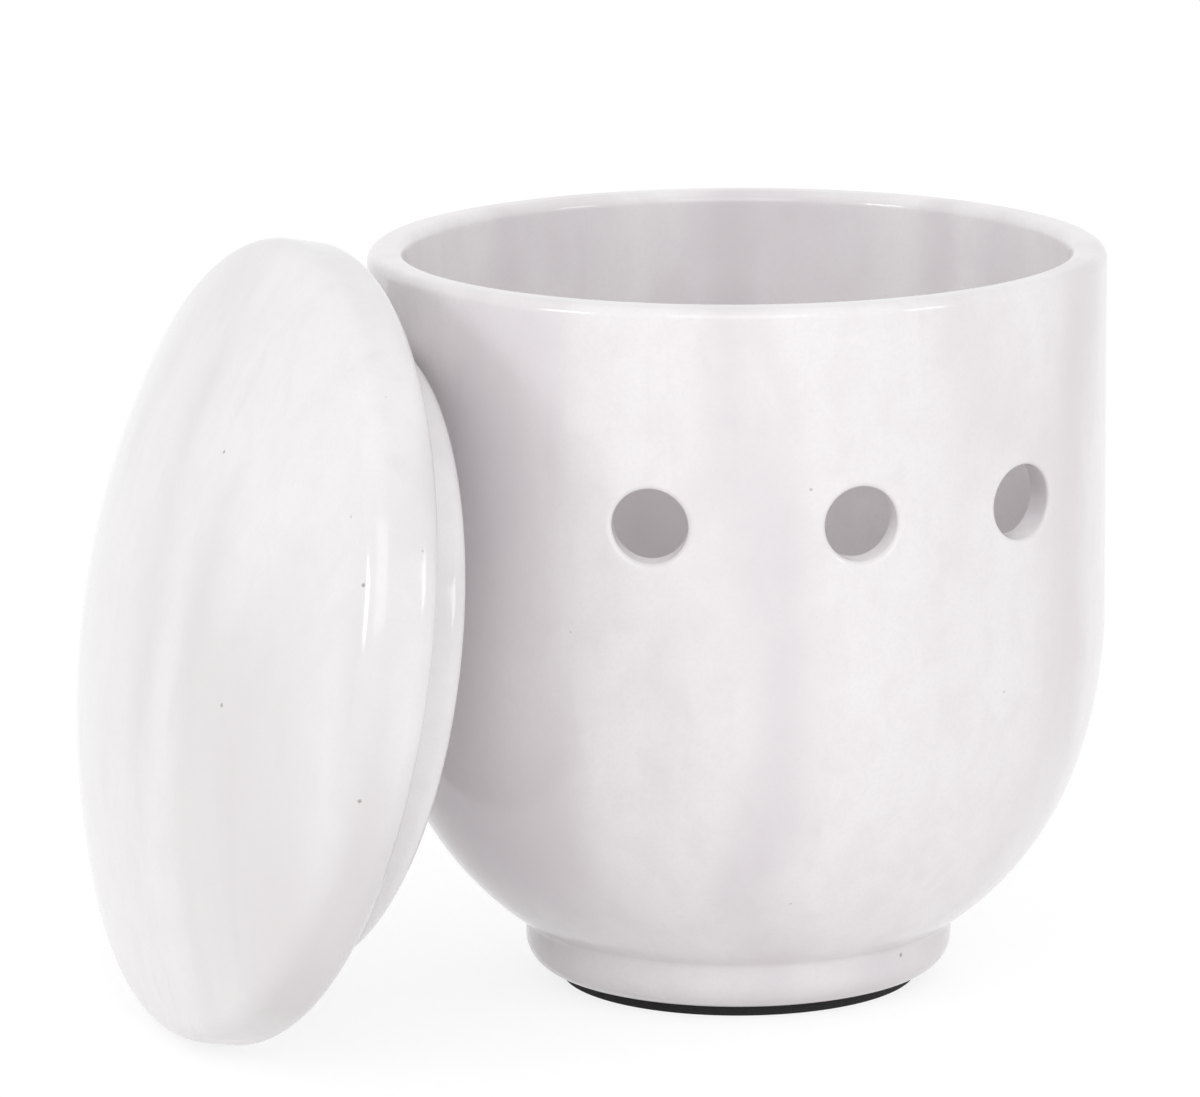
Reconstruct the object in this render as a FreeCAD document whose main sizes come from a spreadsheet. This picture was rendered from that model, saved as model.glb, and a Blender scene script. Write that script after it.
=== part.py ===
import FreeCAD, Part
import math
import os

import Sketcher

# Garlic keeper: a turned stone jar with three vent holes, its domed stone lid, and a thin pad
# under the jar's foot. The lid has been taken off: it stands on its edge beside the jar and
# leans against the wall. Lengths are in millimetres, angles in degrees.
# The origin is on the jar's axis, on the surface that the keeper stands on. +Z is up, and the
# middle vent hole faces -Y. Each size is written once, here, and everything else follows it.
SIZES = [
    ("jar_radius", 63.5, "outside of the straight upper wall, five inches across"),
    ("jar_height", 126.5, "foot's underside to the top of the rim"),
    ("wall_thickness", 6.35, "stone left between the outside and the bore"),
    ("wall_start_height", 63.4, "where the bowl ends and the straight wall begins"),
    ("upper_bowl_radius", 81.1, "radius of the bowl's upper arc, in section"),
    ("bowl_blend_height", 36.4, "where the upper arc runs into the lower one"),
    ("floor_thickness", 8.0, "stone under the inside of the bowl"),
    ("foot_radius", 37.1, "side of the foot"),
    ("foot_height", 8.5, "height at which the bowl leaves the foot"),
    ("foot_edge_round", 5.4, "rounding of the foot's lower edge"),
    ("foot_crease_round", 1.2, "rounding in the crease between the foot and the bowl"),
    ("rim_outer_round", 2.0, "rounding of the rim's outer edge"),
    ("rim_inner_round", 2.0, "rounding of the rim's inner edge"),
    ("vent_radius", 6.35, "radius of a vent hole, half an inch across"),
    ("vent_height", 89.7, "foot's underside to the centre of a vent hole"),
    ("vent_left_turn", -32.2, "place of the left vent, round +Z from -Y"),
    ("vent_middle_turn", 0.0, "place of the middle vent, round +Z from -Y"),
    ("vent_right_turn", 29.8, "place of the right vent, round +Z from -Y"),
    ("vent_left_aim", -19.4, "way the left vent's axis points, round +Z from -Y"),
    ("vent_middle_aim", -5.3, "way the middle vent's axis points, round +Z from -Y"),
    ("vent_right_aim", 3.6, "way the right vent's axis points, round +Z from -Y"),
    ("vent_mouth_round", 1.0, "rounding of a vent's outer edge"),
    ("vent_inner_round", 0.6, "rounding of a vent's inner edge"),
    ("pad_thickness", 2.0, "thickness of the pad under the foot"),
    ("pad_inset", 0.7, "flat of the foot left bare round the pad"),
    ("lid_overhang", 4.6, "how far the lid's rim stands out past the jar's wall"),
    ("lid_edge_height", 12.0, "height of the lid's upright edge before it is rounded"),
    ("lid_height", 28.4, "lid's underside to the top of its dome"),
    ("lid_lower_round", 4.0, "rounding of the lid's lower edge"),
    ("lid_upper_round", 4.9, "rounding between the lid's edge and its dome"),
    ("plug_clearance", 3.1, "gap all round between the lid's plug and the jar's bore"),
    ("plug_depth", 10.6, "how far the plug reaches down into the jar"),
    ("plug_edge_round", 3.4, "rounding of the plug's lower edge"),
    ("plug_root_round", 1.0, "rounding in the corner where the plug meets the lid"),
    ("lean_tilt", 10.6, "how far the leaning lid is out of upright"),
    ("lean_direction", 183.7, "way the leaning lid's dome faces, from +X towards +Y"),
    ("lean_sideways", 3.3, "how far the lid stands off the line through the jar's axis"),
    ("lean_clearance", 0.3, "gap left between the leaning lid and the jar's wall"),
]

document = FreeCAD.newDocument("GarlicKeeper")
sheet = document.addObject("Spreadsheet::Sheet", "Sizes")
for row, (alias, value, meaning) in enumerate(SIZES, start=1):
    sheet.set("A%d" % row, meaning)
    sheet.set("B%d" % row, str(value))
    sheet.setAlias("B%d" % row, alias)
document.recompute()


def size(alias):
    """The number in the sheet's cell of that name."""
    return float(sheet.get(alias))


def new_body(label):
    """An empty body for one piece."""
    body = document.addObject("PartDesign::Body", label)
    body.Label = label
    return body


def new_sketch(body, name, plane_role):
    """A sketch on one of the body's own origin planes."""
    sketch = body.newObject("Sketcher::SketchObject", name)
    plane = [part for part in body.Origin.OriginFeatures if part.Role == plane_role][0]
    sketch.AttachmentSupport = (plane, [""])
    sketch.MapMode = "FlatFace"
    return sketch


def line(sketch, start, end):
    """Draws a straight line in the sketch and gives its number."""
    first = FreeCAD.Vector(start[0], start[1], 0)
    last = FreeCAD.Vector(end[0], end[1], 0)
    return sketch.addGeometry(Part.LineSegment(first, last), False)


def arc(sketch, centre, radius, start_angle, end_angle):
    """Draws an arc, anticlockwise between two angles in radians, and gives its number."""
    circle = Part.Circle(FreeCAD.Vector(centre[0], centre[1], 0), FreeCAD.Vector(0, 0, 1), radius)
    return sketch.addGeometry(Part.ArcOfCircle(circle, start_angle, end_angle), False)


def bind(sketch, name, constraint, expression):
    """Adds a driving dimension whose value is an expression of the sheet's cells."""
    number = sketch.addConstraint(constraint)
    sketch.renameConstraint(number, name)
    sketch.setExpression("Constraints." + name, expression)


START, END, CENTRE = range(1, 4)
HORIZONTAL_AXIS, VERTICAL_AXIS = range(-1, -3, -1)
ORIGIN = (HORIZONTAL_AXIS, START)
# Two lengths that differ by less than this, in millimetres, are taken as equal.
SAME = 0.01


def revolve(body, name, sketch):
    """Turns the sketch round the body's upright axis."""
    turned = body.newObject("PartDesign::Revolution", name)
    turned.Profile = sketch
    turned.ReferenceAxis = (sketch, ["V_Axis"])
    turned.Angle = 360
    document.recompute()
    return turned


def ring_edge(feature, radius, height):
    """Name of the circular edge of that radius about the upright axis, at that height."""
    for number, edge in enumerate(feature.Shape.Edges, start=1):
        if not isinstance(edge.Curve, Part.Circle):
            continue
        same_radius = abs(edge.Curve.Radius - radius) < SAME
        same_height = abs(edge.Curve.Center.z - height) < SAME
        if same_radius and same_height:
            return "Edge%d" % number
    raise RuntimeError("no edge of radius %.2f at height %.2f" % (radius, height))


def round_edges(body, name, feature, edges, radius_expression):
    """Rounds the named edges of a feature."""
    fillet = body.newObject("PartDesign::Fillet", name)
    fillet.Base = (feature, edges)
    fillet.setExpression("Radius", radius_expression)
    document.recompute()
    return fillet


# The jar is turned from one block: a foot, a bowl of two arcs that run into each other, and a
# straight wall up to the rim. Its inside follows the outside at the wall's thickness and ends
# in a round-bottomed floor.
jar = new_body("jar")
section = new_sketch(jar, "jar_section", "XZ_Plane")

bowl_fall = size("wall_start_height") - size("bowl_blend_height")
blend_angle = math.asin(bowl_fall / size("upper_bowl_radius"))
bowl_centre = (size("jar_radius") - size("upper_bowl_radius"), size("wall_start_height"))
blend = (
    bowl_centre[0] + size("upper_bowl_radius") * math.cos(blend_angle),
    size("bowl_blend_height"),
)
to_foot = (size("foot_radius") - blend[0], size("foot_height") - blend[1])
inward = (-math.cos(blend_angle), math.sin(blend_angle))
reach = to_foot[0] * inward[0] + to_foot[1] * inward[1]
lower_radius = (to_foot[0] ** 2 + to_foot[1] ** 2) / (2 * reach)
lower_centre = (blend[0] + lower_radius * inward[0], blend[1] + lower_radius * inward[1])
foot_angle = math.atan2(size("foot_height") - lower_centre[1], size("foot_radius") - lower_centre[0])

bore_radius = size("jar_radius") - size("wall_thickness")
inner_radius = size("upper_bowl_radius") - size("wall_thickness")
inner_blend = (
    bowl_centre[0] + inner_radius * math.cos(blend_angle),
    bowl_centre[1] - inner_radius * math.sin(blend_angle),
)
floor_radius = (inner_blend[1] - size("floor_thickness")) / (1 - math.sin(blend_angle))
floor_centre = (
    inner_blend[0] + floor_radius * inward[0],
    inner_blend[1] + floor_radius * inward[1],
)

foot_corner = (size("foot_radius"), 0)
foot_top = (size("foot_radius"), size("foot_height"))
wall_bottom = (size("jar_radius"), size("wall_start_height"))
rim_outside = (size("jar_radius"), size("jar_height"))
rim_inside = (bore_radius, size("jar_height"))
bore_bottom = (bore_radius, size("wall_start_height"))
floor_edge = (floor_centre[0], size("floor_thickness"))
floor_middle = (0, size("floor_thickness"))

underside = line(section, (0, 0), foot_corner)
foot_side = line(section, foot_corner, foot_top)
lower_arc = arc(section, lower_centre, lower_radius, foot_angle, -blend_angle)
upper_arc = arc(section, bowl_centre, size("upper_bowl_radius"), -blend_angle, 0)
outer_wall = line(section, wall_bottom, rim_outside)
rim = line(section, rim_outside, rim_inside)
bore = line(section, rim_inside, bore_bottom)
inner_arc = arc(section, bowl_centre, inner_radius, -blend_angle, 0)
floor_arc = arc(section, floor_centre, floor_radius, -math.pi / 2, -blend_angle)
floor_line = line(section, floor_edge, floor_middle)
jar_axis = line(section, floor_middle, (0, 0))

section.addConstraint([
    Sketcher.Constraint("Coincident", underside, START, *ORIGIN),
    Sketcher.Constraint("Coincident", underside, END, foot_side, START),
    Sketcher.Constraint("Coincident", foot_side, END, lower_arc, START),
    Sketcher.Constraint("Tangent", lower_arc, END, upper_arc, START),
    Sketcher.Constraint("Tangent", upper_arc, END, outer_wall, START),
    Sketcher.Constraint("Coincident", outer_wall, END, rim, START),
    Sketcher.Constraint("Coincident", rim, END, bore, START),
    Sketcher.Constraint("Tangent", bore, END, inner_arc, END),
    Sketcher.Constraint("Tangent", inner_arc, START, floor_arc, END),
    Sketcher.Constraint("Tangent", floor_arc, START, floor_line, START),
    Sketcher.Constraint("Coincident", floor_line, END, jar_axis, START),
    Sketcher.Constraint("Coincident", jar_axis, END, *ORIGIN),
    Sketcher.Constraint("Coincident", inner_arc, CENTRE, upper_arc, CENTRE),
    Sketcher.Constraint("Horizontal", underside),
    Sketcher.Constraint("Vertical", foot_side),
    Sketcher.Constraint("Vertical", outer_wall),
    Sketcher.Constraint("Horizontal", rim),
    Sketcher.Constraint("Vertical", bore),
    Sketcher.Constraint("Horizontal", floor_line),
    Sketcher.Constraint("Vertical", jar_axis),
])


def across(geometry, point, value):
    """A dimension along the sketch's horizontal, from its origin."""
    return Sketcher.Constraint("DistanceX", *ORIGIN, geometry, point, value)


def up(geometry, point, value):
    """A dimension along the sketch's vertical, from its origin."""
    return Sketcher.Constraint("DistanceY", *ORIGIN, geometry, point, value)


bind(section, "foot_radius", across(underside, END, foot_corner[0]), "Sizes.foot_radius")
bind(section, "foot_height", up(foot_side, END, foot_top[1]), "Sizes.foot_height")
bind(section, "jar_radius", across(outer_wall, START, wall_bottom[0]), "Sizes.jar_radius")
bind(section, "wall_start", up(outer_wall, START, wall_bottom[1]), "Sizes.wall_start_height")
bind(section, "jar_height", up(outer_wall, END, rim_outside[1]), "Sizes.jar_height")
bind(
    section,
    "bowl_radius",
    Sketcher.Constraint("Radius", upper_arc, size("upper_bowl_radius")),
    "Sizes.upper_bowl_radius",
)
bind(section, "blend_height", up(upper_arc, START, blend[1]), "Sizes.bowl_blend_height")
bind(
    section,
    "bore_radius",
    across(rim, END, bore_radius),
    "Sizes.jar_radius - Sizes.wall_thickness",
)
bind(
    section,
    "inner_blend_height",
    up(inner_arc, START, inner_blend[1]),
    "Sizes.wall_start_height - (Sizes.upper_bowl_radius - Sizes.wall_thickness)"
    " * (Sizes.wall_start_height - Sizes.bowl_blend_height) / Sizes.upper_bowl_radius",
)
bind(section, "floor_height", up(floor_line, START, floor_middle[1]), "Sizes.floor_thickness")
turned_jar = revolve(jar, "turned_jar", section)

# The three vents are drilled through the wall side by side at one height. They are level, but
# their axes don't meet on the jar's axis, so each circle is drawn square to its own axis and
# to one side of the jar's.
drilled = turned_jar
for side in ("left", "middle", "right"):
    name = side + "_vent"
    turn = "vent_%s_turn" % side
    aim = "vent_%s_aim" % side
    vent_sketch = new_sketch(jar, name + "_circle", "XZ_Plane")
    vent_sketch.AttachmentOffset = FreeCAD.Placement(
        FreeCAD.Vector(0, 0, 0), FreeCAD.Rotation(FreeCAD.Vector(0, 1, 0), 1)
    )
    vent_sketch.setExpression("AttachmentOffset.Rotation.Angle", "Sizes." + aim)
    sideways = size("jar_radius") * math.sin(math.radians(size(turn) - size(aim)))
    vent_centre = FreeCAD.Vector(sideways, size("vent_height"), 0)
    vent_circle = Part.Circle(vent_centre, FreeCAD.Vector(0, 0, 1), size("vent_radius"))
    circle = vent_sketch.addGeometry(vent_circle, False)
    bind(
        vent_sketch,
        "sideways",
        across(circle, CENTRE, sideways),
        "Sizes.jar_radius * sin(Sizes.%s - Sizes.%s)" % (turn, aim),
    )
    bind(vent_sketch, "height", up(circle, CENTRE, size("vent_height")), "Sizes.vent_height")
    bind(
        vent_sketch,
        "radius",
        Sketcher.Constraint("Radius", circle, size("vent_radius")),
        "Sizes.vent_radius",
    )
    volume_before = drilled.Shape.Volume
    vent = jar.newObject("PartDesign::Pocket", name)
    vent.Profile = vent_sketch
    vent.Type = "ThroughAll"
    vent.Reversed = True
    document.recompute()
    if vent.Shape.Volume > volume_before - math.pi * size("vent_radius") ** 2:
        raise RuntimeError(name + " removed no stone")
    drilled = vent


def vent_edges(feature, wall_radius):
    """Names of the vents' edges that lie on the wall of that radius."""
    names = []
    lowest = size("vent_height") - size("vent_radius") - SAME
    highest = size("vent_height") + size("vent_radius") + SAME
    for number, edge in enumerate(feature.Shape.Edges, start=1):
        points = edge.discretize(8)
        on_wall = all(abs(math.hypot(point.x, point.y) - wall_radius) < SAME for point in points)
        by_vent = all(lowest < point.z < highest for point in points)
        if on_wall and by_vent:
            names.append("Edge%d" % number)
    return names


# Every edge of the jar is rounded and polished over. A rounding is held under half its wall.
drilled = round_edges(
    jar,
    "vent_mouths",
    drilled,
    vent_edges(drilled, size("jar_radius")),
    "min(Sizes.vent_mouth_round; Sizes.wall_thickness * 0.45)",
)
drilled = round_edges(
    jar,
    "vent_inner_edges",
    drilled,
    vent_edges(drilled, bore_radius),
    "min(Sizes.vent_inner_round; Sizes.wall_thickness * 0.45)",
)
drilled = round_edges(
    jar,
    "rim_outer_edge",
    drilled,
    [ring_edge(drilled, size("jar_radius"), size("jar_height"))],
    "min(Sizes.rim_outer_round; Sizes.wall_thickness * 0.45)",
)
drilled = round_edges(
    jar,
    "rim_inner_edge",
    drilled,
    [ring_edge(drilled, bore_radius, size("jar_height"))],
    "min(Sizes.rim_inner_round; Sizes.wall_thickness * 0.45)",
)
drilled = round_edges(
    jar,
    "foot_crease",
    drilled,
    [ring_edge(drilled, size("foot_radius"), size("foot_height"))],
    "min(Sizes.foot_crease_round; Sizes.foot_height * 0.2)",
)
drilled = round_edges(
    jar,
    "foot_edge",
    drilled,
    [ring_edge(drilled, size("foot_radius"), 0)],
    "min(Sizes.foot_edge_round; Sizes.foot_height * 0.75)",
)
jar.Tip = drilled
jar.setExpression("Placement.Base.z", "Sizes.pad_thickness")

# The base pad is a thin disc glued under the foot. It carries the jar on the table.
base_pad = new_body("base_pad")
pad_sketch = new_sketch(base_pad, "pad_circle", "XY_Plane")
pad_radius = size("foot_radius") - size("foot_edge_round") - size("pad_inset")
pad_outline = Part.Circle(FreeCAD.Vector(0, 0, 0), FreeCAD.Vector(0, 0, 1), pad_radius)
circle = pad_sketch.addGeometry(pad_outline, False)
pad_sketch.addConstraint(Sketcher.Constraint("Coincident", circle, CENTRE, *ORIGIN))
bind(
    pad_sketch,
    "radius",
    Sketcher.Constraint("Radius", circle, pad_radius),
    "Sizes.foot_radius - Sizes.foot_edge_round - Sizes.pad_inset",
)
pad_disc = base_pad.newObject("PartDesign::Pad", "pad_disc")
pad_disc.Profile = pad_sketch
pad_disc.setExpression("Length", "Sizes.pad_thickness")
document.recompute()

# The lid is turned from one block too: a domed disc with a plug under it that drops into the
# jar's bore. In its own frame its underside is at z = 0 and its dome points up.
lid = new_body("lid")
lid_section = new_sketch(lid, "lid_section", "XZ_Plane")
lid_radius = size("jar_radius") + size("lid_overhang")
plug_radius = bore_radius - size("plug_clearance")
dome_rise = size("lid_height") - size("lid_edge_height")
dome_radius = (lid_radius ** 2 + dome_rise ** 2) / (2 * dome_rise)
dome_centre = (0, size("lid_height") - dome_radius)
dome_start = math.atan2(size("lid_edge_height") - dome_centre[1], lid_radius)

plug_middle = (0, -size("plug_depth"))
plug_corner = (plug_radius, -size("plug_depth"))
plug_root = (plug_radius, 0)
lid_corner = (lid_radius, 0)
edge_top = (lid_radius, size("lid_edge_height"))
dome_top = (0, size("lid_height"))

plug_face = line(lid_section, plug_middle, plug_corner)
plug_side = line(lid_section, plug_corner, plug_root)
lid_underside = line(lid_section, plug_root, lid_corner)
lid_edge = line(lid_section, lid_corner, edge_top)
dome = arc(lid_section, dome_centre, dome_radius, dome_start, math.pi / 2)
lid_axis = line(lid_section, dome_top, plug_middle)

lid_section.addConstraint([
    Sketcher.Constraint("Coincident", plug_face, END, plug_side, START),
    Sketcher.Constraint("Coincident", plug_side, END, lid_underside, START),
    Sketcher.Constraint("Coincident", lid_underside, END, lid_edge, START),
    Sketcher.Constraint("Coincident", lid_edge, END, dome, START),
    Sketcher.Constraint("Coincident", dome, END, lid_axis, START),
    Sketcher.Constraint("Coincident", lid_axis, END, plug_face, START),
    Sketcher.Constraint("PointOnObject", plug_face, START, VERTICAL_AXIS),
    Sketcher.Constraint("PointOnObject", plug_side, END, HORIZONTAL_AXIS),
    Sketcher.Constraint("PointOnObject", dome, CENTRE, VERTICAL_AXIS),
    Sketcher.Constraint("Horizontal", plug_face),
    Sketcher.Constraint("Vertical", plug_side),
    Sketcher.Constraint("Horizontal", lid_underside),
    Sketcher.Constraint("Vertical", lid_edge),
    Sketcher.Constraint("Vertical", lid_axis),
])
bind(
    lid_section,
    "plug_radius",
    across(plug_side, END, plug_radius),
    "Sizes.jar_radius - Sizes.wall_thickness - Sizes.plug_clearance",
)
bind(
    lid_section,
    "plug_depth",
    Sketcher.Constraint("DistanceY", plug_side, START, plug_side, END, size("plug_depth")),
    "Sizes.plug_depth",
)
bind(
    lid_section,
    "lid_radius",
    across(lid_underside, END, lid_radius),
    "Sizes.jar_radius + Sizes.lid_overhang",
)
bind(lid_section, "edge_height", up(lid_edge, END, edge_top[1]), "Sizes.lid_edge_height")
bind(lid_section, "lid_height", up(dome, END, dome_top[1]), "Sizes.lid_height")
lid_lower_rounding = "min(Sizes.lid_lower_round; Sizes.lid_edge_height * 0.45)"
plug_rounding = "min(Sizes.plug_edge_round; Sizes.plug_depth * 0.8)"
turned_lid = revolve(lid, "turned_lid", lid_section)
turned_lid = round_edges(
    lid,
    "plug_edge",
    turned_lid,
    [ring_edge(turned_lid, plug_radius, -size("plug_depth"))],
    plug_rounding,
)
turned_lid = round_edges(
    lid,
    "plug_corner",
    turned_lid,
    [ring_edge(turned_lid, plug_radius, 0)],
    "min(Sizes.plug_root_round; Sizes.plug_depth * 0.15)",
)
turned_lid = round_edges(
    lid,
    "lid_lower_edge",
    turned_lid,
    [ring_edge(turned_lid, lid_radius, 0)],
    lid_lower_rounding,
)
turned_lid = round_edges(
    lid,
    "lid_upper_edge",
    turned_lid,
    [ring_edge(turned_lid, lid_radius, size("lid_edge_height"))],
    "min(Sizes.lid_upper_round; Sizes.lid_edge_height * 0.45)",
)
lid.Tip = turned_lid

# The lid stands on its lower edge, dome outwards, and leans back until the top of its plug
# is against the jar's wall. Its place follows from those two touches.
stand_height = (
    "(Sizes.jar_radius + Sizes.lid_overhang - {edge}) * cos(Sizes.lean_tilt)"
    " + {edge} * (1 - sin(Sizes.lean_tilt))"
).format(edge=lid_lower_rounding)
lean_distance = (
    "(Sizes.jar_radius + Sizes.lean_clearance + {edge}"
    " + (Sizes.jar_radius - Sizes.wall_thickness - Sizes.plug_clearance - {edge})"
    " * sin(Sizes.lean_tilt)"
    " + (Sizes.plug_depth - {edge}) * cos(Sizes.lean_tilt))"
).format(edge=plug_rounding)
stand_x = (
    lean_distance + " * cos(Sizes.lean_direction) - Sizes.lean_sideways * sin(Sizes.lean_direction)"
)
stand_y = (
    lean_distance + " * sin(Sizes.lean_direction) + Sizes.lean_sideways * cos(Sizes.lean_direction)"
)
hinge_line = "vector(-sin(Sizes.lean_direction); cos(Sizes.lean_direction); 0)"
lid.setExpression(
    "Placement",
    "placement(vector(%s; %s; %s); rotation(%s; 90 - Sizes.lean_tilt))"
    % (stand_x, stand_y, stand_height, hinge_line),
)
document.recompute()

# Every object is checked before anything is written.
for item in document.Objects:
    if "Invalid" in item.State or "Error" in item.State:
        raise RuntimeError(item.Name + " failed: " + str(item.State))
for sketch in document.findObjects("Sketcher::SketchObject"):
    if not sketch.FullyConstrained:
        raise RuntimeError(sketch.Name + " isn't fully constrained")
pieces = [jar, base_pad, lid]
for piece in pieces:
    if piece.Shape.isNull() or not piece.Shape.isValid() or len(piece.Shape.Solids) != 1:
        raise RuntimeError(piece.Label + " isn't one valid solid")

os.makedirs("parts", exist_ok=True)
for piece in pieces:
    piece.Shape.exportStep("parts/%s.step" % piece.Label)
    box = piece.Shape.BoundBox
    print(
        "%-9s %8.1f mm3  x %7.2f %7.2f  y %7.2f %7.2f  z %7.2f %7.2f"
        % (piece.Label, piece.Shape.Volume, box.XMin, box.XMax, box.YMin, box.YMax, box.ZMin, box.ZMax)
    )
print("gap between the lid and the jar: %.3f mm" % lid.Shape.distToShape(jar.Shape)[0])
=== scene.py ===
import bmesh
import bpy
import math
from mathutils import Matrix, Vector


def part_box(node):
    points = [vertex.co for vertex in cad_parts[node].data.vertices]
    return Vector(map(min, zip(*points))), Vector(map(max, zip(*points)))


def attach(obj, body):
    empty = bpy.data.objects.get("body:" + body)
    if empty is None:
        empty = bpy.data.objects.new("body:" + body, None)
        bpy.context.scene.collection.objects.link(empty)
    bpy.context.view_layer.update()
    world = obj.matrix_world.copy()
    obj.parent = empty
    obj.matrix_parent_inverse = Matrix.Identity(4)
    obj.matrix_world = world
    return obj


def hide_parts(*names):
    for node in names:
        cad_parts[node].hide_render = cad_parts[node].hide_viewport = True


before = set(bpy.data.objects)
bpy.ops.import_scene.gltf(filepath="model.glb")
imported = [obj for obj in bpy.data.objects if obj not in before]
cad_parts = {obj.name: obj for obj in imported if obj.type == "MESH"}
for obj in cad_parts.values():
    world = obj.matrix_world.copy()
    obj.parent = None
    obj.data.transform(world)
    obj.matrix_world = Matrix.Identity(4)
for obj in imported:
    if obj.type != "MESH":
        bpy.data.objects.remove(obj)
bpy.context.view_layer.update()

# The jar is turned from one block of white marble and polished inside and out. It has a small
# foot, a bowl of two arcs, and a straight wall. Three vents are drilled through the wall.
MM = 0.001
JAR_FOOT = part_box("jar")[0].z
JAR_RADIUS = 63.5 * MM
JAR_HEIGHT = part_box("jar")[1].z - JAR_FOOT
WALL = 6.35 * MM
BORE_RADIUS = JAR_RADIUS - WALL
WALL_START = 63.4 * MM
BOWL_RADIUS = 81.1 * MM
BOWL_BLEND = 36.4 * MM
FLOOR = 8.0 * MM
FOOT_RADIUS = 37.1 * MM
FOOT_HEIGHT = 8.5 * MM
FOOT_ROUND = 5.4 * MM
CREASE_ROUND = 1.2 * MM
RIM_ROUND = 2.0 * MM
TURNS = 240
SAME_POINT = 0.001 * MM


def arc(centre, radius, start, end, steps):
    """Points on an arc in section, from one angle to another, both ends included."""
    points = []
    for step in range(steps + 1):
        angle = start + (end - start) * step / steps
        points.append((centre[0] + radius * math.cos(angle), centre[1] + radius * math.sin(angle)))
    return points


def run(start, end, steps):
    """Evenly spaced points on a straight line in section, without its two ends."""
    points = []
    for step in range(1, steps):
        share = step / steps
        points.append(tuple(a + (b - a) * share for a, b in zip(start, end)))
    return points


def turned(outline, turns):
    """A solid of revolution: the outline, from axis to axis, is spun about +Z and closed."""
    mesh = bmesh.new()
    points = [mesh.verts.new((across, 0, height)) for across, height in outline]
    edges = [mesh.edges.new(pair) for pair in zip(points, points[1:])]
    bmesh.ops.spin(
        mesh, geom=points + edges, cent=(0, 0, 0), axis=(0, 0, 1),
        angle=math.tau, steps=turns, use_merge=True,
    )
    bmesh.ops.remove_doubles(mesh, verts=mesh.verts, dist=SAME_POINT)
    bmesh.ops.recalc_face_normals(mesh, faces=mesh.faces)
    return mesh


def finished(name, mesh, material):
    """Makes the mesh a smooth-shaded piece with its material."""
    data = bpy.data.meshes.new(name)
    for face in mesh.faces:
        face.smooth = True
    mesh.to_mesh(data)
    mesh.free()
    piece = bpy.data.objects.new(name, data)
    bpy.context.scene.collection.objects.link(piece)
    data.materials.append(material)
    return piece


def jar_outline():
    """Section of the jar's stone, from the middle of its underside round to its floor."""
    blend_angle = math.asin((WALL_START - BOWL_BLEND) / BOWL_RADIUS)
    inward = (-math.cos(blend_angle), math.sin(blend_angle))
    bowl_centre = (JAR_RADIUS - BOWL_RADIUS, WALL_START)
    blend = (bowl_centre[0] - BOWL_RADIUS * inward[0], BOWL_BLEND)
    to_foot = (FOOT_RADIUS - blend[0], FOOT_HEIGHT - blend[1])
    reach = to_foot[0] * inward[0] + to_foot[1] * inward[1]
    lower_radius = (to_foot[0] ** 2 + to_foot[1] ** 2) / (2 * reach)
    lower_centre = (blend[0] + lower_radius * inward[0], blend[1] + lower_radius * inward[1])
    # The crease between foot and bowl is a small arc that touches both.
    crease_x = FOOT_RADIUS + CREASE_ROUND
    crease_fall = math.sqrt((lower_radius + CREASE_ROUND) ** 2 - (crease_x - lower_centre[0]) ** 2)
    crease_centre = (crease_x, lower_centre[1] - crease_fall)
    crease_angle = math.atan2(-crease_fall, crease_x - lower_centre[0])
    inner_radius = BOWL_RADIUS - WALL
    inner_blend = (
        bowl_centre[0] - inner_radius * inward[0],
        bowl_centre[1] - inner_radius * inward[1],
    )
    floor_radius = (inner_blend[1] - FLOOR) / (1 - inward[1])
    floor_centre = (
        inner_blend[0] + floor_radius * inward[0],
        inner_blend[1] + floor_radius * inward[1],
    )
    right = math.pi / 2
    foot_flat = FOOT_RADIUS - FOOT_ROUND
    outline = [(0, 0)] + run((0, 0), (foot_flat, 0), 12)
    outline += arc((foot_flat, FOOT_ROUND), FOOT_ROUND, -right, 0, 16)
    outline += run((FOOT_RADIUS, FOOT_ROUND), (FOOT_RADIUS, crease_centre[1]), 3)
    outline += arc(crease_centre, CREASE_ROUND, math.pi, math.pi + crease_angle, 8)
    outline += arc(lower_centre, lower_radius, crease_angle, -blend_angle, 26)[1:]
    outline += arc(bowl_centre, BOWL_RADIUS, -blend_angle, 0, 16)[1:]
    rim_bottom = JAR_HEIGHT - RIM_ROUND
    outline += run((JAR_RADIUS, WALL_START), (JAR_RADIUS, rim_bottom), 38)
    outline += arc((JAR_RADIUS - RIM_ROUND, rim_bottom), RIM_ROUND, 0, right, 10)
    outline += run((JAR_RADIUS - RIM_ROUND, JAR_HEIGHT), (BORE_RADIUS + RIM_ROUND, JAR_HEIGHT), 4)
    outline += arc((BORE_RADIUS + RIM_ROUND, rim_bottom), RIM_ROUND, right, 2 * right, 10)
    outline += run((BORE_RADIUS, rim_bottom), (BORE_RADIUS, WALL_START), 38)
    outline += arc(bowl_centre, inner_radius, 0, -blend_angle, 16)
    outline += arc(floor_centre, floor_radius, -blend_angle, -right, 30)[1:]
    outline += run((floor_centre[0], FLOOR), (0, FLOOR), 5) + [(0, FLOOR)]
    return outline


VENT_RADIUS = 6.35 * MM
VENT_HEIGHT = 89.7 * MM
MOUTH_ROUND = 1.0 * MM
INNER_ROUND = 0.6 * MM
# Half the side of the square of faces that is taken out round a vent, how far outside the lip
# the two rings lie that ease the square into a circle, and how far the lip runs into the bore.
VENT_PATCH = 9.9 * MM
EASING_RINGS = (1.0 * MM, 0.35 * MM)
LIP_RUN = 0.5 * MM
LIP_STEPS = 6


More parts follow.
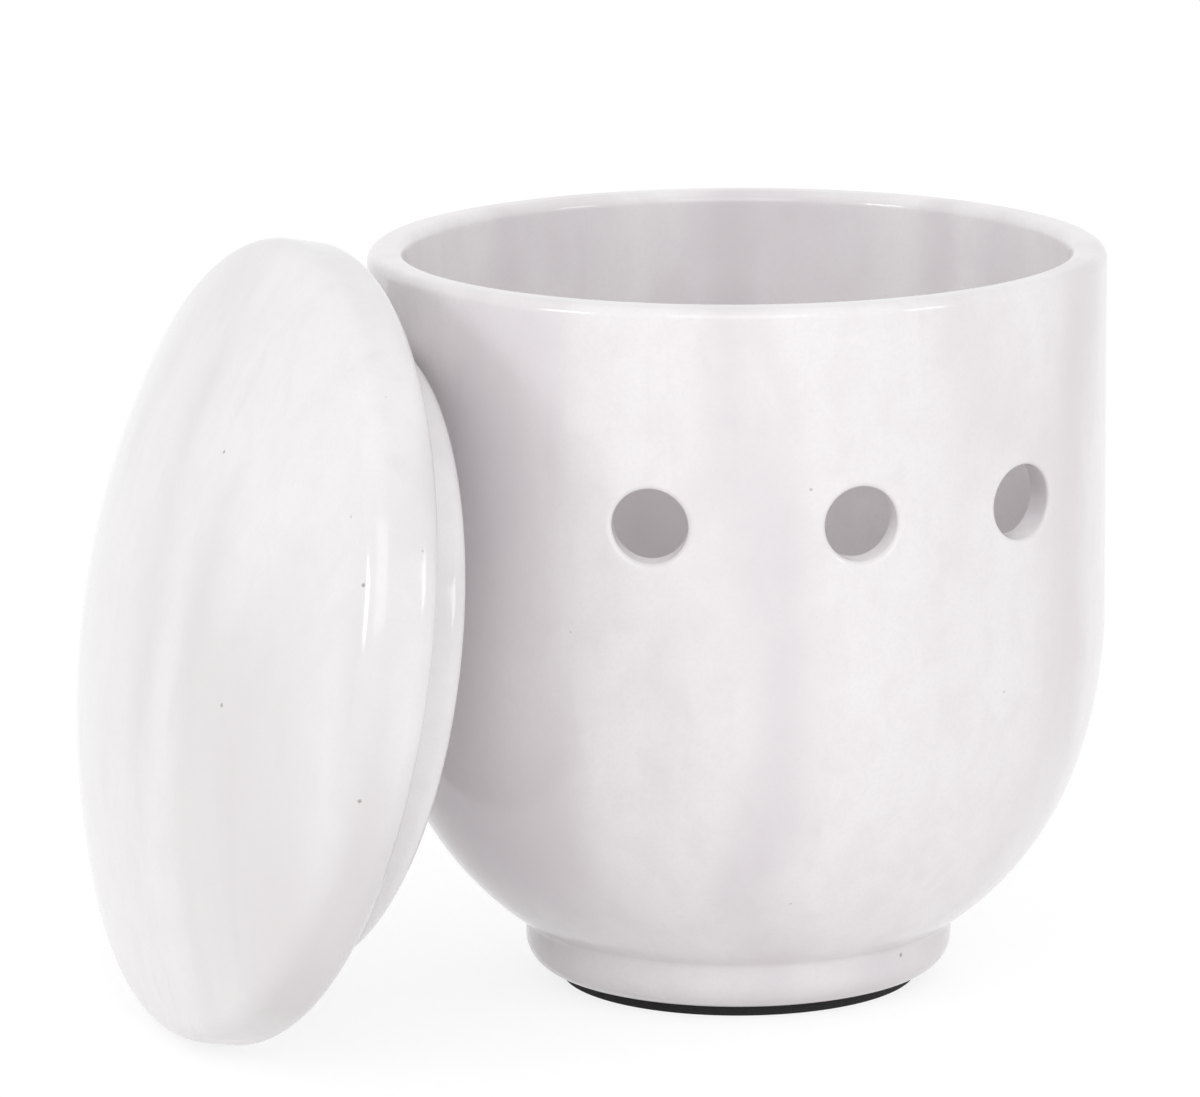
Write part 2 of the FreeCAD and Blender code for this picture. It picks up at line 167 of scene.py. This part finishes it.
class Vent:
    """One vent: its place round the wall and the way its level axis points, both from -Y."""

    def __init__(self, turn, aim):
        self.aim = math.radians(aim)
        self.sideways = JAR_RADIUS * math.sin(math.radians(turn) - self.aim)

    def local(self, point):
        """A point as seen square to the vent, with the vent's axis at zero across and up."""
        turned_back = Matrix.Rotation(-self.aim, 3, "Z") @ point
        return turned_back - Vector((self.sideways, 0, VENT_HEIGHT))

    def angle(self, point):
        """Angle of a point round the vent's axis."""
        near = self.local(point)
        return math.atan2(near.z, near.x)

    def point(self, angle, radius, wall, depth):
        """A point that far round and out from the vent's axis, and that deep in the wall."""
        across = self.sideways + radius * math.cos(angle)
        outwards = math.sqrt(wall ** 2 - across ** 2) - depth
        place = Vector((across, -outwards, VENT_HEIGHT + radius * math.sin(angle)))
        return Matrix.Rotation(self.aim, 3, "Z") @ place


VENTS = (Vent(-32.2, -19.4), Vent(0.0, -5.3), Vent(29.8, 3.6))


def open_patch(mesh, vent, wall):
    """Takes the faces round a vent out of one side of the wall and gives the edges left open."""
    patch = []
    for face in mesh.faces:
        middle = face.calc_center_median()
        near = vent.local(middle)
        beside = abs(near.x) < VENT_PATCH and abs(near.z) < VENT_PATCH and near.y < 0
        if beside and abs(math.hypot(middle.x, middle.y) - wall) < WALL / 4:
            patch.append(face)
    inside = set(patch)
    border = {
        edge for face in patch for edge in face.edges
        if not all(other in inside for other in edge.link_faces)
    }
    bmesh.ops.delete(mesh, geom=patch, context="FACES")
    return list(border)


def lip(mesh, border, vent, wall, rings):
    """Extrudes the open edges ring by ring, round the lip of a vent and into the wall."""
    for radius, depth in rings:
        grown = bmesh.ops.extrude_edge_only(mesh, edges=border)["geom"]
        border = [part for part in grown if isinstance(part, bmesh.types.BMEdge)]
        points = [part for part in grown if isinstance(part, bmesh.types.BMVert)]
        points.sort(key=lambda point: vent.angle(point.co))
        first = min(points, key=lambda point: abs(vent.angle(point.co)))
        offset = points.index(first)
        for number, point in enumerate(points):
            angle = math.tau * (number - offset) / len(points)
            point.co = vent.point(angle, radius, wall, depth)
    return border


def drill_vent(mesh, vent):
    """Opens one vent: a softened lip outside and inside, and a straight bore between them."""
    lips = []
    for wall, rounding, inwards in (
        (JAR_RADIUS, MOUTH_ROUND, 1),
        (BORE_RADIUS, INNER_ROUND, -1),
    ):
        border = open_patch(mesh, vent, wall)
        rings = [(VENT_RADIUS + rounding + extra, 0) for extra in EASING_RINGS]
        for step in range(LIP_STEPS + 1):
            swing = math.pi / 2 * step / LIP_STEPS
            rings.append((
                VENT_RADIUS + rounding * (1 - math.sin(swing)),
                inwards * rounding * (1 - math.cos(swing)),
            ))
        rings.append((VENT_RADIUS, inwards * (rounding + LIP_RUN)))
        lips += lip(mesh, border, vent, wall, rings)
    bmesh.ops.bridge_loops(mesh, edges=lips)


class Nodes:
    """A material's node tree, with short calls that add a node and wire it up."""

    def __init__(self, name):
        self.material = bpy.data.materials.new(name)
        self.material.use_nodes = True
        self.tree = self.material.node_tree
        self.surface = self.tree.nodes["Principled BSDF"]

    def add(self, kind, settings=None, **inputs):
        """Adds a node, sets its properties, and fills its inputs by name."""
        node = self.tree.nodes.new(kind)
        for key, value in (settings or {}).items():
            setattr(node, key, value)
        for key, value in inputs.items():
            self.fill(node, key.replace("_", " "), value)
        return node

    def fill(self, node, key, value):
        """Links an output to the input of that name or number, or sets it to a constant."""
        socket = node.inputs[key]
        if isinstance(value, bpy.types.NodeSocket):
            self.tree.links.new(value, socket)
        else:
            socket.default_value = value

    def maths(self, operation, *values):
        """Adds a maths node on those values and gives its result."""
        node = self.add("ShaderNodeMath", {"operation": operation})
        for number, value in enumerate(values):
            self.fill(node, number, value)
        return node.outputs[0]


def colour(red, green, blue):
    """A colour written as it looks on a screen, 0 to 255, for a shader."""
    linear = []
    for part in (red, green, blue):
        share = part / 255
        linear.append(share / 12.92 if share < 0.04045 else ((share + 0.055) / 1.055) ** 2.4)
    return (*linear, 1)


# The layers of the marble, each a cloudy pattern: how many times it is repeated in a metre, how
# far it is stretched upright, its detail, the levels of the pattern where the grey starts and is
# full, and how grey it then is.
MARBLE_LAYERS = {
    "bands": (34, 0.25, 1, 0.42, 0.78, 0.80),
    "streaks": (150, 0.14, 3, 0.58, 0.82, 0.30),
    "clouds": (170, 0.70, 3, 0.35, 0.75, 0.20),
    "grain": (1500, 1.00, 2, 0.35, 0.75, 0.12),
}
# The specks lie in cells, so many to a metre. Their core and edge are shares of a cell.
SPECK_CELLS = 110
SPECK_CORE = 0.025
SPECK_EDGE = 0.05
SPECK_COLOUR = (172, 164, 160)
POLISH = 0.12
MARBLE_IOR = 1.5


def marble(name, offset, white, grey, speck_share):
    """Polished white marble: upright grey bands, fine streaks, clouds, grain and tiny specks."""
    nodes = Nodes(name)
    place = nodes.add("ShaderNodeTexCoord")
    shade = white
    for label, (repeats, upright, detail, start, full, strength) in MARBLE_LAYERS.items():
        bed = nodes.add(
            "ShaderNodeMapping", Vector=place.outputs["Object"],
            Location=offset, Scale=(1, 1, upright),
        )
        pattern = nodes.add(
            "ShaderNodeTexNoise", {"label": label}, Vector=bed.outputs[0],
            Scale=repeats, Detail=detail, Roughness=0.5, Distortion=0.35,
        )
        greyness = nodes.add(
            "ShaderNodeMapRange", {"interpolation_type": "SMOOTHSTEP"},
            Value=pattern.outputs["Fac"], From_Min=start, From_Max=full, To_Max=strength,
        )
        layer = nodes.add(
            "ShaderNodeMix", {"data_type": "RGBA"}, Factor=greyness.outputs[0], A=shade, B=grey,
        )
        shade = layer.outputs["Result"]
    # A speck lies at a cell's centre, in the share of cells whose random number is low enough.
    cells = nodes.add(
        "ShaderNodeTexVoronoi", Vector=place.outputs["Object"], Scale=SPECK_CELLS,
    )
    speck = nodes.add(
        "ShaderNodeMapRange", Value=cells.outputs["Distance"],
        From_Min=SPECK_CORE, From_Max=SPECK_EDGE, To_Min=1, To_Max=0,
    )
    number = nodes.add("ShaderNodeSeparateColor", Color=cells.outputs["Color"])
    chosen = nodes.maths("LESS_THAN", number.outputs[0], speck_share)
    specked = nodes.add(
        "ShaderNodeMix", {"data_type": "RGBA"},
        Factor=nodes.maths("MULTIPLY", speck.outputs[0], chosen),
        A=shade, B=colour(*SPECK_COLOUR),
    )
    nodes.fill(nodes.surface, "Base Color", specked.outputs["Result"])
    nodes.fill(nodes.surface, "Roughness", POLISH)
    nodes.fill(nodes.surface, "IOR", MARBLE_IOR)
    return nodes.material


jar_marble = marble(
    "polished_marble_jar", offset=(0.03, 6.10, 3.04),
    white=colour(239, 236, 237), grey=colour(215, 209, 213), speck_share=0.12,
)
jar_mesh = turned(jar_outline(), TURNS)
for vent in VENTS:
    drill_vent(jar_mesh, vent)
bmesh.ops.translate(jar_mesh, verts=jar_mesh.verts, vec=(0, 0, JAR_FOOT))
jar_piece = finished("turned_jar", jar_mesh, jar_marble)
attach(jar_piece, "jar")
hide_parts("jar")

# The base pad is a disc of dark foam rubber, glued under the foot so that the stone doesn't
# scratch the table. Only its edge shows, and its dark colour is also painted contact shadow there.
PAD_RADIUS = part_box("base_pad")[1].x
PAD_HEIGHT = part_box("base_pad")[1].z
PAD_ROUND = 0.3 * MM
PAD_TURNS = 120


def foam_and_painted_shadow():
    """Dark closed-cell foam with a fine dimpled skin; its darkness is also painted contact shadow
    under the foot.
    """
    nodes = Nodes("dark_foam_and_painted_contact_shadow")
    place = nodes.add("ShaderNodeTexCoord")
    cells = nodes.add("ShaderNodeTexVoronoi", Vector=place.outputs["Object"], Scale=1400)
    bump = nodes.add(
        "ShaderNodeBump", Height=cells.outputs["Distance"], Strength=0.5, Distance=0.15 * MM,
    )
    patches = nodes.add("ShaderNodeTexNoise", Vector=place.outputs["Object"], Scale=160, Detail=3)
    # These near-black foam colours double as painted contact shadow along the foot's lower edge.
    shade = nodes.add(
        "ShaderNodeMix", {"data_type": "RGBA"}, Factor=patches.outputs["Fac"],
        A=colour(30, 29, 29), B=colour(44, 43, 43),
    )
    nodes.fill(nodes.surface, "Base Color", shade.outputs["Result"])
    nodes.fill(nodes.surface, "Normal", bump.outputs["Normal"])
    nodes.fill(nodes.surface, "Roughness", 0.85)
    return nodes.material


pad_side = PAD_RADIUS - PAD_ROUND
pad_outline = [(0, 0)] + run((0, 0), (pad_side, 0), 10)
pad_outline += arc((pad_side, PAD_ROUND), PAD_ROUND, -math.pi / 2, 0, 5)
pad_outline += arc((pad_side, PAD_HEIGHT - PAD_ROUND), PAD_ROUND, 0, math.pi / 2, 5)
pad_outline += run((pad_side, PAD_HEIGHT), (0, PAD_HEIGHT), 4) + [(0, PAD_HEIGHT)]
pad_piece = finished("dark_pad_and_painted_shadow", turned(pad_outline, PAD_TURNS), foam_and_painted_shadow())
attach(pad_piece, "jar")
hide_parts("base_pad")

# The lid is a second turned piece of the same marble: a domed disc with a plug under it that
# drops into the jar's mouth. Here it stands on its edge and leans on the jar's wall.
LID_RADIUS = JAR_RADIUS + 4.6 * MM
LID_EDGE = 12.0 * MM
LID_HEIGHT = 28.4 * MM
LID_LOWER_ROUND = 4.0 * MM
LID_UPPER_ROUND = 4.9 * MM
PLUG_RADIUS = BORE_RADIUS - 3.1 * MM
PLUG_DEPTH = 10.6 * MM
PLUG_ROUND = 3.4 * MM
PLUG_ROOT = 1.0 * MM
LEAN_TILT = math.radians(10.6)
LEAN_WAY = math.radians(183.7)
LEAN_SIDEWAYS = 3.3 * MM
LEAN_GAP = 0.3 * MM


def lid_outline():
    """Section of the lid from the middle of its plug's face round to the top of its dome."""
    rise = LID_HEIGHT - LID_EDGE
    dome_radius = (LID_RADIUS ** 2 + rise ** 2) / (2 * rise)
    dome_centre = (0, LID_HEIGHT - dome_radius)
    # The upper round touches the upright edge and the dome.
    corner_x = LID_RADIUS - LID_UPPER_ROUND
    inner = dome_radius - LID_UPPER_ROUND
    corner = (corner_x, dome_centre[1] + math.sqrt(inner ** 2 - corner_x ** 2))
    shoulder = math.atan2(corner[1] - dome_centre[1], corner_x)
    right = math.pi / 2
    outline = [(0, -PLUG_DEPTH)] + run((0, -PLUG_DEPTH), (PLUG_RADIUS - PLUG_ROUND, -PLUG_DEPTH), 14)
    plug_low = PLUG_ROUND - PLUG_DEPTH
    outline += arc((PLUG_RADIUS - PLUG_ROUND, plug_low), PLUG_ROUND, -right, 0, 12)
    outline += run((PLUG_RADIUS, plug_low), (PLUG_RADIUS, -PLUG_ROOT), 4)
    outline += arc((PLUG_RADIUS + PLUG_ROOT, -PLUG_ROOT), PLUG_ROOT, math.pi, right, 6)
    lid_flat = LID_RADIUS - LID_LOWER_ROUND
    outline += run((PLUG_RADIUS + PLUG_ROOT, 0), (lid_flat, 0), 4)
    outline += arc((lid_flat, LID_LOWER_ROUND), LID_LOWER_ROUND, -right, 0, 14)
    outline += run((LID_RADIUS, LID_LOWER_ROUND), (LID_RADIUS, corner[1]), 4)
    outline += arc(corner, LID_UPPER_ROUND, 0, shoulder, 12)
    outline += arc(dome_centre, dome_radius, shoulder, right, 40)[1:]
    return outline


lean_distance = (
    JAR_RADIUS + LEAN_GAP + PLUG_ROUND + (PLUG_RADIUS - PLUG_ROUND) * math.sin(LEAN_TILT)
    + (PLUG_DEPTH - PLUG_ROUND) * math.cos(LEAN_TILT)
)
stand_height = (
    (LID_RADIUS - LID_LOWER_ROUND) * math.cos(LEAN_TILT)
    + LID_LOWER_ROUND * (1 - math.sin(LEAN_TILT))
)
lid_place = (
    Matrix.Rotation(LEAN_WAY, 4, "Z")
    @ Matrix.Translation((lean_distance, LEAN_SIDEWAYS, stand_height))
    @ Matrix.Rotation(math.pi / 2 - LEAN_TILT, 4, "Y")
)
lid_marble = marble(
    "polished_marble_lid", offset=(0.51, 8.78, 0.21),
    white=colour(236, 234, 235), grey=colour(219, 215, 216), speck_share=0.6,
)
lid_mesh = turned(lid_outline(), TURNS)
bmesh.ops.transform(lid_mesh, matrix=lid_place, verts=lid_mesh.verts)
lid_piece = finished("turned_lid", lid_mesh, lid_marble)
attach(lid_piece, "lid")
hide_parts("lid")

# The floor is plain and pale, and shows white to the camera apart from the soft shadow under
# the keeper. The world is white where it is seen or mirrored, and plain soft light elsewhere.
FLOOR_HALF = 4.0
FLOOR_PALE = colour(251, 250, 250)
SHADOW_DEPTH = (0.22, 0.22, 0.22, 1)
FLOOR_GLOW = 0.82
WORLD_LIGHT = 0.79
floor_data = bpy.data.meshes.new("floor")
floor_mesh = bmesh.new()
bmesh.ops.create_grid(floor_mesh, x_segments=1, y_segments=1, size=FLOOR_HALF)
floor_mesh.to_mesh(floor_data)
floor_mesh.free()
floor = bpy.data.objects.new("floor", floor_data)
bpy.context.scene.collection.objects.link(floor)



def looked_at(tree):
    """One where a surface is seen by the camera or mirrored, and nought in other light paths."""
    rays = tree.nodes.new("ShaderNodeLightPath")
    seen = tree.nodes.new("ShaderNodeMath")
    seen.operation = "MAXIMUM"
    tree.links.new(rays.outputs["Is Camera Ray"], seen.inputs[0])
    tree.links.new(rays.outputs["Is Glossy Ray"], seen.inputs[1])
    return seen.outputs[0]


def pale_floor():
    """A pale matt floor that lights the keeper from below and shows white with soft shadows."""
    nodes = Nodes("pale_floor")
    nodes.tree.nodes.remove(nodes.surface)
    plain = nodes.add("ShaderNodeBsdfDiffuse", Color=FLOOR_PALE)
    shadowed = nodes.add("ShaderNodeBsdfDiffuse", Color=SHADOW_DEPTH)
    glow = nodes.add("ShaderNodeEmission", Color=(1, 1, 1, 1), Strength=FLOOR_GLOW)
    white = nodes.add("ShaderNodeAddShader")
    nodes.fill(white, 0, shadowed.outputs[0])
    nodes.fill(white, 1, glow.outputs[0])
    chosen = nodes.add("ShaderNodeMixShader")
    nodes.fill(chosen, 0, looked_at(nodes.tree))
    nodes.fill(chosen, 1, plain.outputs[0])
    nodes.fill(chosen, 2, white.outputs[0])
    nodes.fill(nodes.tree.nodes["Material Output"], "Surface", chosen.outputs[0])
    return nodes.material


floor_data.materials.append(pale_floor())

world = bpy.data.worlds.new("soft_studio")
bpy.context.scene.world = world
world.use_nodes = True
sky = world.node_tree
level = sky.nodes.new("ShaderNodeMapRange")
level.inputs["To Min"].default_value = WORLD_LIGHT
level.inputs["To Max"].default_value = 1.0
sky.links.new(looked_at(sky), level.inputs["Value"])
background = sky.nodes["Background"]
background.inputs["Color"].default_value = (1, 1, 1, 1)
sky.links.new(level.outputs[0], background.inputs["Strength"])


# Two small soft lamps stand to the right and left of the camera and draw the highlights along
# the rim, the vents and the lid's edge. A large, faint one above the camera fills in between.
LAMP_DISTANCE = 2.2
KEEPER_MIDDLE = Vector((0, 0, 0.08))


def lamp(name, turn, rise, width, height, brightness):
    """A soft rectangular lamp, that many degrees round from -Y and up, aimed at the keeper."""
    turn = math.radians(turn)
    rise = math.radians(rise)
    light = bpy.data.lights.new(name, "AREA")
    light.shape = "RECTANGLE"
    light.size = width
    light.size_y = height
    light.energy = brightness * math.pi * width * height
    fixture = bpy.data.objects.new(name, light)
    level = math.cos(rise)
    outwards = Vector((math.sin(turn) * level, -math.cos(turn) * level, math.sin(rise)))
    fixture.location = KEEPER_MIDDLE + LAMP_DISTANCE * outwards
    fixture.rotation_euler = (-outwards).to_track_quat("-Z", "Y").to_euler()
    bpy.context.scene.collection.objects.link(fixture)


lamp("right_lamp", turn=42, rise=20, width=0.55, height=0.50, brightness=4.0)
lamp("left_lamp", turn=-74, rise=20, width=0.55, height=0.50, brightness=7.0)
lamp("front_lamp", turn=-18, rise=32, width=1.6, height=1.1, brightness=1.5)

# The camera stands about 1.36 m away, a little above the rim, with a long lens.
CAMERA_PLACE = Vector((-0.42833, -1.24123, 0.34935))
CAMERA_TURN = math.radians(18.0)
CAMERA_PITCH = math.radians(11.786)
CAMERA_ROLL = math.radians(-0.345)
CAMERA_LENS = 232.5
camera_data = bpy.data.cameras.new("camera")
camera_data.lens = CAMERA_LENS
camera_data.sensor_width = 36
camera_data.clip_end = 20
camera = bpy.data.objects.new("camera", camera_data)
camera.matrix_world = (
    Matrix.Translation(CAMERA_PLACE)
    @ Matrix.Rotation(-CAMERA_TURN, 4, "Z")
    @ Matrix.Rotation(math.pi / 2 - CAMERA_PITCH, 4, "X")
    @ Matrix.Rotation(CAMERA_ROLL, 4, "Z")
)
bpy.context.scene.collection.objects.link(camera)
bpy.context.scene.camera = camera
bpy.context.scene.view_settings.view_transform = "Standard"
